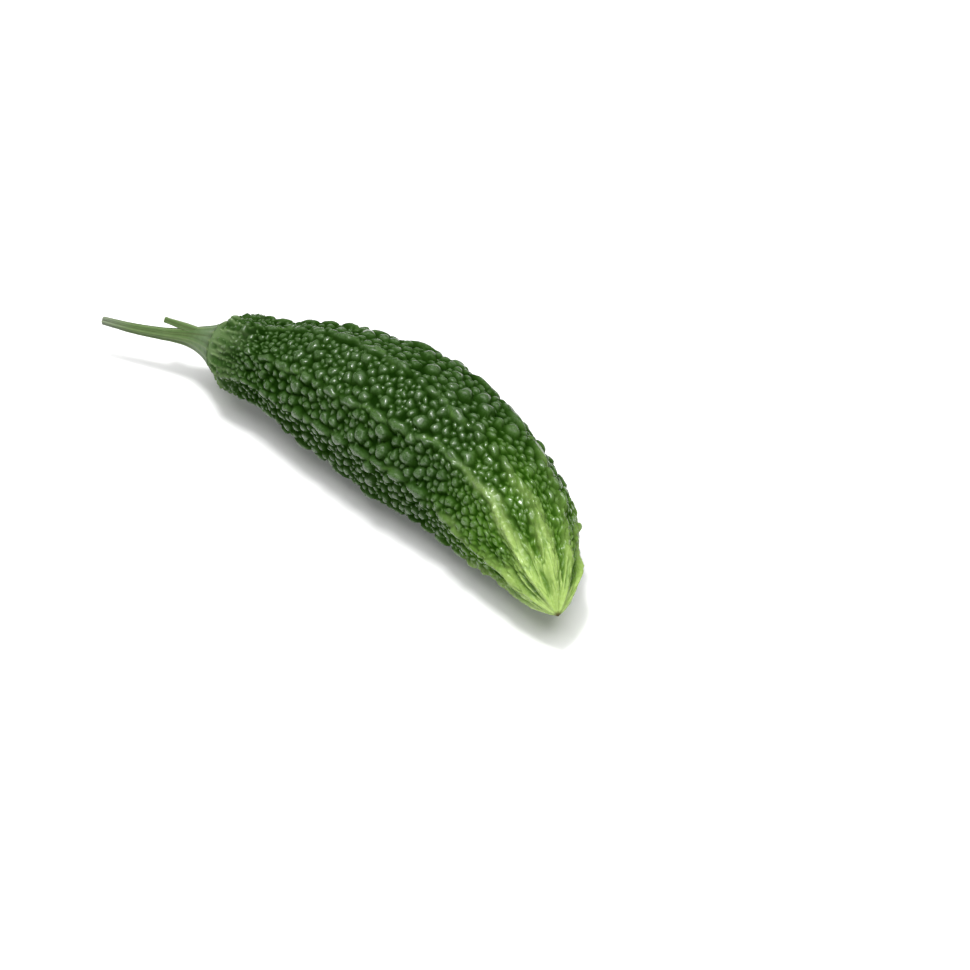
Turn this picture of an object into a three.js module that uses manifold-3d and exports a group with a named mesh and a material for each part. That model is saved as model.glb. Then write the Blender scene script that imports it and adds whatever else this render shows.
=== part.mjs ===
// A bitter gourd, lying on its side: one ribbed and warty fruit, and the stem that it was cut with.
// Millimetres, +Z up. The fruit's neck is towards -X, its blossom tip towards +X, and it bows
// towards +Y. The origin is at the middle of the underside of the whole part's box.

import * as THREE from 'three';
import { ConvexHull } from 'three/addons/math/ConvexHull.js';
import { mergeVertices } from 'three/addons/utils/BufferGeometryUtils.js';
import Module from 'manifold-3d';

const wasm = await Module();
wasm.setup();

// Driving dimensions, in millimetres and degrees.

// The fruit
const FRUIT_LENGTH = 180; // straight from neck to tip
const FRUIT_RADIUS = 26.3; // of the skin between the warts, at the widest place
const NECK_RADIUS = 10; // where the stem's flare ends and the warty skin begins
const NECK_ANGLE = 16; // how far the neck turns away from the straight line to the tip
const TIP_ANGLE = 32; // how far the tip turns away from it, the other way
const NECK_DROP = 5; // how far the axis lies lower at the neck than along the body
const TIP_DROP = 9; // and at the tip
const PRESSED_DEPTH = 1.1; // how deep the ground would cut into a largest wart underneath

// The ribs that run from neck to tip
const RIB_COUNT = 9;
const RIB_HEIGHT = 1.3; // along the body
const TIP_RIB_HEIGHT = 1.5; // near the tip, where the ribs stand free
const RIB_WANDER = 5; // how far, in degrees, a rib strays from its straight course

// The warts, and the long lobes that sit on the ribs
const WART_RADIUS = 2.9; // of the largest wart's foot
const SMALLEST_WART_RADIUS = 1.2;
const WART_STEEPNESS = 0.72; // height over foot radius
const WART_CROWDING = 0.84; // distance between neighbours over the sum of their foot radii
const WART_STRETCH = 0.3; // how much longer than wide a wart may be
const WART_SLANT = 0.4; // of a stretched wart, in radians, either way
const LOBE_LENGTH = 13; // of the longest lobe
const LOBE_WIDTH = 4.4; // of the widest
const LOBE_HEIGHT = 2.1; // of the highest
const SHORTEST_LOBE = 0.35; // against the longest
const NARROWEST_LOBE = 0.75; // against the widest
const LOWEST_LOBE = 0.7; // against the highest
const LOBE_SLANT = 0.2; // away from the rib, in radians, either way
const CLOSEST_LOBES = 1.8; // step to the next lobe, in half lengths
const WIDEST_LOBES = 3.4;

// How the bumps change towards the ends
const NECK_BUMP_SCALE = 0.42; // size of the bumps at the neck, against those along the body
const TIP_BUMP_SCALE = 0.45; // and near the tip
const TIP_WART_STRETCH = 1.1; // how much more the warts near the tip are stretched
const TIP_WART_STEEPNESS = 0.4; // of the warts near the tip, against those along the body

// Where the bumps are, as shares of the fruit's length
const FIRST_WART = 0.03;
const LAST_WART = 0.91;
const FIRST_LOBE = 0.05; // the earliest start of a row of lobes
const FIRST_LOBE_SPREAD = 0.08; // how much later a row may start
const LAST_LOBE = 0.84;
const FREE_RIB_START = 0.87; // where the ribs run on without bumps

// The stem
const STEM_LENGTH = 50; // from the fruit to the cut end
const STEM_END_RADIUS = 1.4; // at the cut end
const STEM_RADIUS = 3.2; // at the fruit, if there were no flare
const FLARE_LENGTH = 25; // of the part that spreads onto the fruit
const STEM_BOW = 9; // how far the cut end lies aside of the neck's own direction
const STEM_CURL = 2.5; // how far the cut end curls up
const STEM_RIB_COUNT = 5;
const STEM_RIB_HEIGHT = 0.25;
const STUB_LENGTH = 17; // of the cut side shoot, with its root inside the flare
const STUB_RADIUS = 1.5;
const STUB_PLACE = 10; // from the fruit, along the stem
const STUB_RISE = 3.8; // of its root over the stem's axis
const STUB_ANGLE = 3; // away from the stem
const STEM_GAP = 0.3; // between the stem's flare and the fruit's neck

// How finely the surfaces are divided
const OUTLINE_POINTS = 1600;
const NECK_SIDES = 28;
const LOBE_STEP = 3.2; // between the crest points of a lobe
const TIP_RIB_STEP = 3; // between the crest points of a free rib
const STEM_SIDES = 20;
const STEM_RINGS = 30;
const STUB_SIDES = 12;

const RANDOM_SEED = 4;
const WART_SIZES = 6; // classes, from large to small
const TRIES_PER_SIZE = 3000; // for the smallest
const FEWEST_TRIES = 0.04; // for the largest, against the smallest

const FRUIT_COLOUR = 0x3a5c28;
const STEM_COLOUR = 0x74875a;
const WELD_DISTANCE = 1e-3;

const UP = new THREE.Vector3(0, 0, 1);
const FULL_TURN = 2 * Math.PI;

const { degToRad, lerp, smoothstep } = THREE.MathUtils;

// A repeatable stream of random numbers from 0 to 1.
function randomStream(seed) {
  let state = seed;
  return () => {
    state = (state + 0x6d2b79f5) | 0;
    let mixed = Math.imul(state ^ (state >>> 15), 1 | state);
    mixed = (mixed + Math.imul(mixed ^ (mixed >>> 7), 61 | mixed)) ^ mixed;
    return ((mixed ^ (mixed >>> 14)) >>> 0) / 2 ** 32;
  };
}

// An angle brought to within half a turn of zero.
function wrapAngle(angle) {
  return angle - FULL_TURN * Math.round(angle / FULL_TURN);
}

// ---- The fruit's axis and outline ----

// The axis lies this high along the body, so that the warts underneath touch the ground there and
// are pressed flat.
const BODY_HEIGHT = FRUIT_RADIUS + WART_STEEPNESS * WART_RADIUS - PRESSED_DEPTH;

// The handles are thirds of the length, so the curve's parameter is the share of the length.
function fruitAxis() {
  const third = FRUIT_LENGTH / 3;
  const half = FRUIT_LENGTH / 2;
  const handleHeight = BODY_HEIGHT + (NECK_DROP + TIP_DROP) / 6;
  return new THREE.CubicBezierCurve3(
    new THREE.Vector3(-half, 0, BODY_HEIGHT - NECK_DROP),
    new THREE.Vector3(third - half, third * Math.tan(degToRad(NECK_ANGLE)), handleHeight),
    new THREE.Vector3(half - third, third * Math.tan(degToRad(TIP_ANGLE)), handleHeight),
    new THREE.Vector3(half, 0, BODY_HEIGHT - TIP_DROP),
  );
}

// The skin's half outline: the neck's flat face, then the body. Its widths are shares of the
// greatest radius, at shares of the length.
function fruitOutline() {
  const bodyShares = [
    [0.02, 0.46], [0.05, 0.52], [0.13, 0.58], [0.26, 0.81],
    [0.48, 1], [0.66, 0.88], [0.8, 0.73], [0.92, 0.4],
  ];
  const body = new THREE.SplineCurve([
    new THREE.Vector2(NECK_RADIUS, 0),
    ...bodyShares.map(([along, wide]) => new THREE.Vector2(wide * FRUIT_RADIUS, along * FRUIT_LENGTH)),
    new THREE.Vector2(0, FRUIT_LENGTH),
  ]);
  const path = new THREE.CurvePath();
  path.add(new THREE.LineCurve(new THREE.Vector2(0, 0), new THREE.Vector2(NECK_RADIUS, 0)));
  path.add(body);
  return path;
}

// The outline as close points. `spread` is the length along the outline measured in local radii,
// which maps the skin onto a ball without distortion; it has no end at the neck's middle or the tip.
function sampleOutline() {
  const points = fruitOutline().getSpacedPoints(OUTLINE_POINTS);
  const samples = [];
  let spread = 0;
  for (let index = 1; index < points.length - 1; index++) {
    const step = points[index].distanceTo(points[index - 1]);
    spread += step / ((points[index].x + points[index - 1].x) / 2);
    samples.push({ radius: points[index].x, distance: points[index].y, spread });
  }
  const middle = samples.find((sample) => sample.distance >= FRUIT_LENGTH / 2).spread;
  return samples.map((sample) => ({ ...sample, spread: sample.spread - middle }));
}

const FRUIT_AXIS = fruitAxis();
const OUTLINE = sampleOutline();
const NECK_RIM = OUTLINE.find((sample) => sample.distance > 0);

// The outline where one of its rising values, `distance` or `spread`, has the value asked for.
function outlineAt(key, value) {
  let low = 0;
  let high = OUTLINE.length - 1;
  while (high - low > 1) {
    const middle = (low + high) >> 1;
    if (OUTLINE[middle][key] > value) {
      high = middle;
    } else {
      low = middle;
    }
  }
  const before = OUTLINE[low];
  const after = OUTLINE[high];
  const share = THREE.MathUtils.clamp((value - before[key]) / (after[key] - before[key]), 0, 1);
  return {
    radius: lerp(before.radius, after.radius, share),
    distance: lerp(before.distance, after.distance, share),
    spread: lerp(before.spread, after.spread, share),
  };
}

// ---- Ribs and bumps ----

// Where a rib runs at a share of the length, as an angle around the axis, from the top. The middle
// of the underside lies between two ribs.
function ribAngle(rib, along) {
  const stray = Math.sin(rib * 2.4 + along * 7) + 0.5 * Math.sin(rib * 5.1 - along * 11);
  const calm = smoothstep(along, 0, 0.2) * (1 - smoothstep(along, 0.75, 1));
  return ((rib + 0.5) / RIB_COUNT) * FULL_TURN + Math.PI + degToRad(RIB_WANDER) * stray * calm;
}

// The skin's height at a place on the rib or in the furrow beside it.
function ribRelief(along, angle, radius) {
  let nearest = Infinity;
  for (let rib = 0; rib < RIB_COUNT; rib++) {
    nearest = Math.min(nearest, Math.abs(wrapAngle(angle - ribAngle(rib, along))));
  }
  const furrow = FULL_TURN / RIB_COUNT / 2;
  const crest = 0.5 + 0.5 * Math.cos(Math.min(1, nearest / furrow) * Math.PI);
  const tipShare = smoothstep(along, 0.66, 0.86);
  const height = lerp(RIB_HEIGHT, TIP_RIB_HEIGHT, tipShare);
  const room = Math.min(1, radius / NECK_RADIUS) * smoothstep(along, 0, 0.04);
  return height * room * crest ** (1 + tipShare);
}

// How large bumps may grow: full size along the body, small at both ends.
function bumpScale(along) {
  const atNeck = lerp(NECK_BUMP_SCALE, 1, smoothstep(along, 0.02, 0.3));
  return atNeck * lerp(1, TIP_BUMP_SCALE, smoothstep(along, 0.62, 0.92));
}

// The long lobes that sit in rows on the ribs. A bump is a place on the skin, its half sizes,
// its height, and its slant away from the rib.
function ribLobes(random) {
  const lobes = [];
  for (let rib = 0; rib < RIB_COUNT; rib++) {
    let distance = FRUIT_LENGTH * (FIRST_LOBE + FIRST_LOBE_SPREAD * random());
    while (distance < LAST_LOBE * FRUIT_LENGTH) {
      const scale = bumpScale(distance / FRUIT_LENGTH);
      const halfLength = (LOBE_LENGTH / 2) * lerp(SHORTEST_LOBE, 1, random()) * scale;
      const halfWidth = (LOBE_WIDTH / 2) * lerp(NARROWEST_LOBE, 1, random()) * scale;
      const height = LOBE_HEIGHT * lerp(LOWEST_LOBE, 1, random()) * scale;
      const slant = LOBE_SLANT * lerp(-1, 1, random());
      const middle = distance + halfLength;
      const angle = ribAngle(rib, middle / FRUIT_LENGTH);
      lobes.push({ distance: middle, angle, halfLength, halfWidth, height, slant });
      distance += halfLength * lerp(CLOSEST_LOBES, WIDEST_LOBES, random() ** 2);
    }
  }
  return lobes;
}

// Whether a wart with this foot would crowd a bump that is already there.
function isCrowded(distance, angle, foot, bumps) {
  return bumps.some((bump) => {
    const gapAlong = (distance - bump.distance) / (WART_CROWDING * (foot + bump.halfLength));
    if (Math.abs(gapAlong) >= 1) {
      return false;
    }
    const across = wrapAngle(angle - bump.angle) * outlineAt('distance', distance).radius;
    const gapAcross = across / (WART_CROWDING * (foot + bump.halfWidth));
    return gapAlong ** 2 + gapAcross ** 2 < 1;
  });
}

// Warts fill what the lobes leave free, the large ones first and then ever smaller ones. Few are
// large, so the sizes drop fast at first.
function addWarts(bumps, random) {
  for (let size = 0; size < WART_SIZES; size++) {
    const share = size / (WART_SIZES - 1);
    const radius = lerp(WART_RADIUS, SMALLEST_WART_RADIUS, Math.sqrt(share));
    const tries = TRIES_PER_SIZE * Math.max(FEWEST_TRIES, share);
    for (let attempt = 0; attempt < tries; attempt++) {
      const along = lerp(FIRST_WART, LAST_WART, random());
      const angle = wrapAngle(FULL_TURN * random());
      const chance = random();
      const stretch = 1 + WART_STRETCH * random() + TIP_WART_STRETCH * smoothstep(along, 0.7, 0.9);
      const slant = WART_SLANT * lerp(-1, 1, random());
      const distance = along * FRUIT_LENGTH;
      const foot = radius * bumpScale(along);
      const isTooMany = chance > outlineAt('distance', distance).radius / FRUIT_RADIUS;
      if (isTooMany || isCrowded(distance, angle, foot, bumps)) {
        continue;
      }
      const steepness = WART_STEEPNESS * lerp(1, TIP_WART_STEEPNESS, smoothstep(along, 0.74, 0.92));
      const height = steepness * foot;
      bumps.push({ distance, angle, halfLength: foot * stretch, halfWidth: foot, height, slant });
    }
  }
}

// ---- The fruit's surface points ----

// A surface point lies `height` above the skin. Neighbouring crest points with the same chain are
// joined by a sharp edge, and all others have a furrow between them.
function crestPoint(place, angle, height, chain) {
  const relief = height + ribRelief(place.distance / FRUIT_LENGTH, angle, place.radius);
  return { ...place, angle, relief, chain };
}

function bumpCrests(bumps) {
  return bumps.flatMap((bump, number) => {
    const steps = Math.floor((2 * (bump.halfLength - bump.halfWidth)) / LOBE_STEP);
    const crests = [];
    for (let step = 0; step <= steps; step++) {
      const offset = (step - steps / 2) * LOBE_STEP;
      const place = outlineAt('distance', bump.distance + offset * Math.cos(bump.slant));
      const angle = bump.angle + (offset * Math.sin(bump.slant)) / place.radius;
      const height = bump.height * Math.sqrt(1 - (offset / bump.halfLength) ** 2);
      crests.push(crestPoint(place, angle, height, `bump ${number}`));
    }
    return crests;
  });
}

// The free ribs between the last warts and the tip.
function tipRibCrests() {
  const crests = [];
  for (let rib = 0; rib < RIB_COUNT; rib++) {
    const start = FREE_RIB_START * FRUIT_LENGTH;
    for (let distance = start; distance < FRUIT_LENGTH - TIP_RIB_STEP / 3; distance += TIP_RIB_STEP) {
      const angle = ribAngle(rib, distance / FRUIT_LENGTH);
      crests.push(crestPoint(outlineAt('distance', distance), angle, 0, `rib ${rib}`));
    }
  }
  return crests;
}

function neckRimPoints() {
  const points = [];
  for (let side = 0; side < NECK_SIDES; side++) {
    points.push({ ...NECK_RIM, angle: (side / NECK_SIDES) * FULL_TURN, relief: 0, chain: 'rim' });
  }
  return points;
}

function fruitCrests() {
  const random = randomStream(RANDOM_SEED);
  const bumps = ribLobes(random);
  addWarts(bumps, random);
  const neckMiddle = { radius: 0, distance: 0, spread: -Infinity, angle: 0, relief: 0, chain: 'neck' };
  const tip = { radius: 0, distance: FRUIT_LENGTH, spread: Infinity, angle: 0, relief: 0, chain: 'tip' };
  return [neckMiddle, ...neckRimPoints(), ...bumpCrests(bumps), ...tipRibCrests(), tip];
}

// ---- The fruit's mesh ----

// The point's place on the ball that the skin maps onto.
function onBall(point) {
  const height = Math.tanh(point.spread);
  const width = 1 / Math.cosh(point.spread);
  return new THREE.Vector3(width * Math.sin(point.angle), height, width * Math.cos(point.angle));
}

// The furrow point between three neighbouring crest points.
function furrowPoint(corners) {
  const middle = new THREE.Vector3();
  corners.forEach((corner) => middle.add(corner));
  middle.normalize();
  const place = outlineAt('spread', Math.atanh(middle.y));
  const angle = Math.atan2(middle.x, middle.z);
  return { ...place, angle, relief: ribRelief(place.distance / FRUIT_LENGTH, angle, place.radius) };
}

// A point of the turned shape, carried to the bent axis.
function bend(curve, share, angle, reach) {
  const forward = curve.getTangent(share);
  const aside = new THREE.Vector3().crossVectors(forward, UP).normalize();
  const upward = new THREE.Vector3().crossVectors(aside, forward);
  return curve.getPoint(share)
    .addScaledVector(aside, reach * Math.sin(angle))
    .addScaledVector(upward, reach * Math.cos(angle));
}

// Crest points are joined to their neighbours on the ball. Each triangle of neighbours has a furrow
// point in its middle, so that each wart becomes a small peak with furrows all round it.
function fruitSkin() {
  const points = fruitCrests();
  const places = points.map(onBall);
  const numbers = new Map(places.map((place, number) => [place, number]));
  const hull = new ConvexHull().setFromPoints(places);
  const furrows = new Map();
  hull.faces.forEach((face) => {
    furrows.set(face, points.length);
    points.push(furrowPoint([0, 1, 2].map((corner) => face.getEdge(corner).head().point)));
  });
  const triangles = [];
  hull.faces.forEach((face) => {
    for (let corner = 0; corner < 3; corner++) {
      const edge = face.getEdge(corner);
      const from = numbers.get(edge.tail().point);
      const to = numbers.get(edge.head().point);
      const left = furrows.get(face);
      const right = furrows.get(edge.twin.face);
      if (points[from].chain === points[to].chain) {
        triangles.push(from, to, left);
      } else {
        triangles.push(from, right, left);
      }
    }
  });
  const positions = points.flatMap(({ distance, angle, radius, relief }) => (
    bend(FRUIT_AXIS, distance / FRUIT_LENGTH, angle, radius + relief).toArray()
  ));
  const geometry = new THREE.BufferGeometry();
  geometry.setAttribute('position', new THREE.Float32BufferAttribute(positions, 3));
  geometry.setIndex(triangles);
  return geometry;
}

// ---- Solids ----

// The same surface with each vertex kept once, and only positions.
function welded(geometry) {
  geometry.deleteAttribute('normal');
  geometry.deleteAttribute('uv');
  return mergeVertices(geometry, WELD_DISTANCE);
}

function toSolid(geometry) {
  return new wasm.Manifold(new wasm.Mesh({
    numProp: 3,
    vertProperties: new Float32Array(geometry.getAttribute('position').array),
    triVerts: new Uint32Array(geometry.getIndex().array),
  }));
}

function solidMesh(name, solid, color, roughness) {
  const { vertProperties, triVerts } = solid.getMesh();
  const geometry = new THREE.BufferGeometry();
  geometry.setAttribute('position', new THREE.BufferAttribute(vertProperties, 3));
  geometry.setIndex(new THREE.BufferAttribute(triVerts, 1));
  geometry.computeVertexNormals();
  const surface = new THREE.MeshStandardMaterial({ color, roughness, metalness: 0 });
  const mesh = new THREE.Mesh(geometry, surface);
  mesh.name = name;
  return mesh;
}

// The ground, as a block that cuts the pressed warts flat.
function makeGround() {
  const ground = new THREE.BoxGeometry(2 * FRUIT_LENGTH, 2 * FRUIT_LENGTH, FRUIT_RADIUS);
  ground.translate(0, 0, -FRUIT_RADIUS / 2);
  return toSolid(welded(ground));
}

function makeFruit() {
  const fruit = toSolid(fruitSkin()).subtract(makeGround());
  return solidMesh('fruit', fruit, FRUIT_COLOUR, 0.42);
}

// ---- The stem ----

// The stem leaves the neck squarely, goes on with the fruit's bow, and its far end curls up a
// little. Its course is given as shares of its length, of its bow and of its curl.
function stemAxis() {
  const start = FRUIT_AXIS.getPoint(0);
  const backward = FRUIT_AXIS.getTangent(0).negate();
  const sideways = new THREE.Vector3().crossVectors(UP, backward).normalize();
  const course = [[0, 0, 0], [0.25, 0, 0], [0.5, 0.34, 0], [0.75, 0.66, 0.2], [1, 1, 1]];
  return new THREE.CatmullRomCurve3(course.map(([along, bow, curl]) => start.clone()
    .addScaledVector(backward, Math.max(STEM_GAP, along * STEM_LENGTH))
    .addScaledVector(sideways, bow * STEM_BOW)
    .addScaledVector(UP, curl * STEM_CURL)));
}

// The stem's half outline, outward from the fruit: the flare narrows in a hollow curve, and then
// the stem tapers evenly to its cut end.
function stemOutline() {
  const points = [new THREE.Vector2(0, 0)];
  for (let ring = 0; ring <= STEM_RINGS; ring++) {
    const distance = STEM_LENGTH * (ring / STEM_RINGS) ** 1.25;
    const flare = Math.max(0, 1 - distance / FLARE_LENGTH) ** 2;
    const thin = lerp(STEM_RADIUS, STEM_END_RADIUS, distance / STEM_LENGTH);
    points.push(new THREE.Vector2(thin + (NECK_RADIUS - STEM_RADIUS) * flare, distance));
  }
  points.push(new THREE.Vector2(0, STEM_LENGTH));
  return points;
}

// The stalk: its outline turned, ribbed and bent along its axis.
function makeStalk(axis) {
  const lathe = new THREE.LatheGeometry(stemOutline(), STEM_SIDES);
  const points = lathe.getAttribute('position');
  for (let index = 0; index < points.count; index++) {
    const radius = Math.hypot(points.getX(index), points.getZ(index));
    const distance = points.getY(index);
    const angle = Math.atan2(points.getX(index), points.getZ(index));
    const ribs = STEM_RIB_HEIGHT * Math.cos(STEM_RIB_COUNT * angle);
    const fade = smoothstep(distance, 0, FLARE_LENGTH / 2) * Math.min(1, radius / STEM_END_RADIUS);
    const point = bend(axis, distance / STEM_LENGTH, angle, radius + ribs * fade);
    points.setXYZ(index, point.x, point.y, point.z);
  }
  return toSolid(welded(lathe));
}

// The cut side shoot starts inside the flare's upper side and leaves the stalk at an angle.
function makeStub(axis) {
  const share = STUB_PLACE / STEM_LENGTH;
  const root = axis.getPoint(share).addScaledVector(UP, STUB_RISE);
  const heading = axis.getTangent(share).applyAxisAngle(UP, -degToRad(STUB_ANGLE));
  const stub = new THREE.CylinderGeometry(STUB_RADIUS, STUB_RADIUS, STUB_LENGTH, STUB_SIDES);
  const lie = new THREE.Quaternion().setFromUnitVectors(new THREE.Vector3(0, 1, 0), heading);
  stub.translate(0, STUB_LENGTH / 2, 0);
  stub.applyQuaternion(lie);
  stub.translate(root.x, root.y, root.z);
  return toSolid(welded(stub));
}

function makeStem() {
  const axis = stemAxis();
  return solidMesh('stem', makeStalk(axis).add(makeStub(axis)), STEM_COLOUR, 0.6);
}

// ---- The whole part ----

// Moves the part so that the middle of its box's underside is the origin.
function centred(group) {
  const box = new THREE.Box3().setFromObject(group, true);
  const middle = box.getCenter(new THREE.Vector3());
  group.position.set(-middle.x, -middle.y, -box.min.z);
  return group;
}

const gourd = new THREE.Group();
gourd.name = 'bitter_gourd';
gourd.add(makeFruit(), makeStem());

export default centred(gourd);
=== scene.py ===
"""The looks of a bitter gourd: a ribbed and warty fruit with its cut stem, lying on a pale floor.

Metres, +Z up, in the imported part's own frame. The fruit is a fine mesh over the same axis, outline,
ribs and warts as the CAD part, and the stem follows the CAD stem. Both are put where the frame says.
"""

import math

import bpy
import numpy as np
from mathutils import Matrix, Vector


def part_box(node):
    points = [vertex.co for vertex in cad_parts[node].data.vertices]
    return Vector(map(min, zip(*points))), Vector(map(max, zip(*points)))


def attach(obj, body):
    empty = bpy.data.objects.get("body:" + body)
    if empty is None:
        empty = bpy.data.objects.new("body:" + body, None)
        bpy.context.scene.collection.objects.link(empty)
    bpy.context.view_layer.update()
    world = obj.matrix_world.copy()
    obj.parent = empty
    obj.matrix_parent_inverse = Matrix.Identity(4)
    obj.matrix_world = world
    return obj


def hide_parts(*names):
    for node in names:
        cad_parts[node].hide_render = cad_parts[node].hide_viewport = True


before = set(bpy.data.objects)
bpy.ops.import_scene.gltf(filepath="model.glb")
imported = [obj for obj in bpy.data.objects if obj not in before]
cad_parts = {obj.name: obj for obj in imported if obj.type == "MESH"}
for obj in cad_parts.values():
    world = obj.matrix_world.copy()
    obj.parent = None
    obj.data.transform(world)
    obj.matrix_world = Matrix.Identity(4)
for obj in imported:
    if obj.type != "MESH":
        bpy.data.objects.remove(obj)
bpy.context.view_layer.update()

MM = 0.001
FULL_TURN = 2 * math.pi

# ---- The fruit's sizes, as in the CAD part ----

FRUIT_LENGTH = 180 * MM
FRUIT_RADIUS = 26.3 * MM
NECK_RADIUS = 10 * MM
NECK_ANGLE = math.radians(16)
TIP_ANGLE = math.radians(32)
NECK_DROP = 5 * MM
TIP_DROP = 9 * MM
PRESSED_DEPTH = 1.1 * MM
BODY_SHARES = (
    (0.02, 0.46), (0.05, 0.52), (0.13, 0.58), (0.26, 0.81),
    (0.48, 1.0), (0.66, 0.88), (0.8, 0.73), (0.92, 0.4),
)

RIB_COUNT = 9
RIB_HEIGHT = 1.3 * MM
TIP_RIB_HEIGHT = 1.5 * MM
RIB_WANDER = math.radians(5)

WART_RADIUS = 2.9 * MM
SMALLEST_WART_RADIUS = 1.2 * MM
WART_STEEPNESS = 0.72
WART_CROWDING = 0.84
WART_STRETCH = 0.3
WART_SLANT = 0.4
LOBE_LENGTH = 13 * MM
LOBE_WIDTH = 4.4 * MM
LOBE_HEIGHT = 2.1 * MM
SHORTEST_LOBE = 0.35
NARROWEST_LOBE = 0.75
LOWEST_LOBE = 0.7
LOBE_SLANT = 0.2
CLOSEST_LOBES = 1.8
WIDEST_LOBES = 3.4

NECK_BUMP_SCALE = 0.42
TIP_BUMP_SCALE = 0.45
TIP_WART_STRETCH = 1.1
TIP_WART_STEEPNESS = 0.4

FIRST_WART = 0.03
LAST_WART = 0.91
FIRST_LOBE = 0.05
FIRST_LOBE_SPREAD = 0.08
LAST_LOBE = 0.84

RANDOM_SEED = 4
WART_SIZES = 6
TRIES_PER_SIZE = 3000
FEWEST_TRIES = 0.04

BODY_HEIGHT = FRUIT_RADIUS + WART_STEEPNESS * WART_RADIUS - PRESSED_DEPTH

# ---- The stem's sizes, as in the CAD part ----

STEM_LENGTH = 50 * MM
STEM_END_RADIUS = 1.4 * MM
STEM_RADIUS = 3.2 * MM
FLARE_LENGTH = 25 * MM
STEM_BOW = 9 * MM
STEM_CURL = 2.5 * MM
STEM_COURSE = ((0, 0, 0), (0.25, 0, 0), (0.5, 0.34, 0), (0.75, 0.66, 0.2), (1, 1, 1))
STEM_RIB_COUNT = 5
STEM_RIB_HEIGHT = 0.25 * MM
STEM_GAP = 0.3 * MM
STUB_LENGTH = 17 * MM
STUB_RADIUS = 1.5 * MM
STUB_PLACE = 10 * MM
STUB_RISE = 3.8 * MM
STUB_ANGLE = math.radians(3)

# ---- Details that only the visual has ----

# Small warts that fill the gaps between the CAD part's, largest first, and where they grow
FILLER_RADII = (1.2 * MM, 1.0 * MM, 0.85 * MM)
FILLER_TRIES = 4000
FILLER_CROWDING = 0.8
FILLER_STEEPNESS = 0.6
FILLER_SPAN = (0.005, 0.965)

# The beads' shape, and how much taller they are than the CAD part's warts
MOST_BUMPS = 6000
BUMP_REACH = 1.3  # how far a bead spreads, in its own half sizes
BUMP_WINDOW = 2.2  # how far out it is worked out, so that it meets its neighbours in creases
BEAD_GAIN = 1.45
NECK_BEAD_GAIN = 2.2
TIP_BEAD_GAIN = 2.6
DOME_ROUNDNESS = 0.8  # a lower power gives a flatter top and a steeper foot
CREASE_SHARPNESS = 3.5  # a higher power gives a narrower crease between two beads
BEAD_STRAY = 0.9 * MM  # how far the beads' outlines are bent out of true
BEAD_STRAY_LENGTH = 4.5 * MM
NECK_BEADS = (0.03, 0.15)  # shares of the fruit's length over which the neck's beads end
TIP_BEADS = (0.75, 0.9)  # and the tip's begin

# The smooth pale ribs: where each starts to turn pale, over how long a stretch, and its half widths
PALE_RIB_STARTS = (0.74, 0.78, 0.72, 0.76, 0.68, 0.42, 0.74, 0.76, 0.7)
PALE_RIB_STRETCH = 0.3
PALE_RIB_HEIGHT = 0.7 * MM
NARROW_PALE_RIB = 0.035  # radians, along the body
WIDE_PALE_RIB = 0.18  # radians, at the tip
WIDENING_RIB = (0.66, 0.95)
FAINT_RIB = 0.55  # how pale the ribs are along the body, where they come and go
RIB_SMOOTHING = 0.7  # how much of the beads' height a pale rib takes away

# The veins and thin cuts that run along the skin, and its unevenness. Each comes from a random
# field: a width is measured in that field, from -1 to 1, and a stretch below 1 draws it out.
TIP_SKIN = (0.72, 0.92)
NECK_SKIN = (0.0, 0.12)
TIP_VEIN_HEIGHT = 1.0 * MM
NECK_VEIN_HEIGHT = 0.6 * MM
VEIN_WIDTH = 0.25
VEIN_LENGTH = 9 * MM
VEIN_STRETCH = 0.3
LAST_VEINS = (0.95, 0.985)
CUT_DEPTH = 0.35 * MM
CUT_WIDTH = 0.12
CUT_LENGTH = 5.5 * MM
CUT_STRETCH = 0.35
LAST_CUTS = (0.97, 0.99)
UNEVENNESS = 0.25 * MM
UNEVEN_LENGTH = 9 * MM
FINE_RELIEF = 0.12 * MM
TIP_FINE_RELIEF = 0.3 * MM  # on top of the body's
FINE_LENGTH = 2.2 * MM
TIP_FULLNESS = 1.1 * MM
FULL_TIP_START = 0.9

# The stem's fine relief, and its overlap with the fruit, which closes the CAD part's gap
STEM_LINE_HEIGHT = 0.2 * MM
STEM_WOBBLE = 0.1 * MM
FLARE_OVERLAP = 0.15 * MM  # how far the flare stands out past the neck
STEM_INSIDE = 1.2 * MM  # how far the stem runs back from its start, across the gap and inside
INSIDE_TAPER = 1.4  # how fast it narrows there
CUT_ROUNDING = 0.35  # of the radius, along a softly cut end
CUT_RADIUS = 0.72  # of the radius, on a softly cut end

# ---- How finely the visual surfaces are divided ----

FRUIT_RINGS = 360
FRUIT_SIDES = 268
STEM_RINGS = 150
STEM_SIDES = 96
STUB_RINGS = 40
STUB_SIDES = 32
CUT_RINGS = 8
TOP_FINENESS = 0.25  # how much closer the fruit's points lie on its upper side


def smoothstep(low, high, value):
    share = np.clip((value - low) / (high - low), 0.0, 1.0)
    return share * share * (3 - 2 * share)


def lerp(start, end, share):
    return start + (end - start) * share


def wrap_angle(angle):
    return angle - FULL_TURN * np.round(angle / FULL_TURN)


def random_stream(seed):
    """A repeatable stream of random numbers from 0 to 1, the same as the CAD part's."""
    word = 0xFFFFFFFF
    state = seed
    while True:
        state = (state + 0x6D2B79F5) & word
        mixed = ((state ^ (state >> 15)) * (1 | state)) & word
        mixed = ((mixed + ((mixed ^ (mixed >> 7)) * (61 | mixed) & word)) & word) ^ mixed
        yield ((mixed ^ (mixed >> 14)) & word) / 2**32


# ---- The fruit's axis and outline ----


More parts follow.
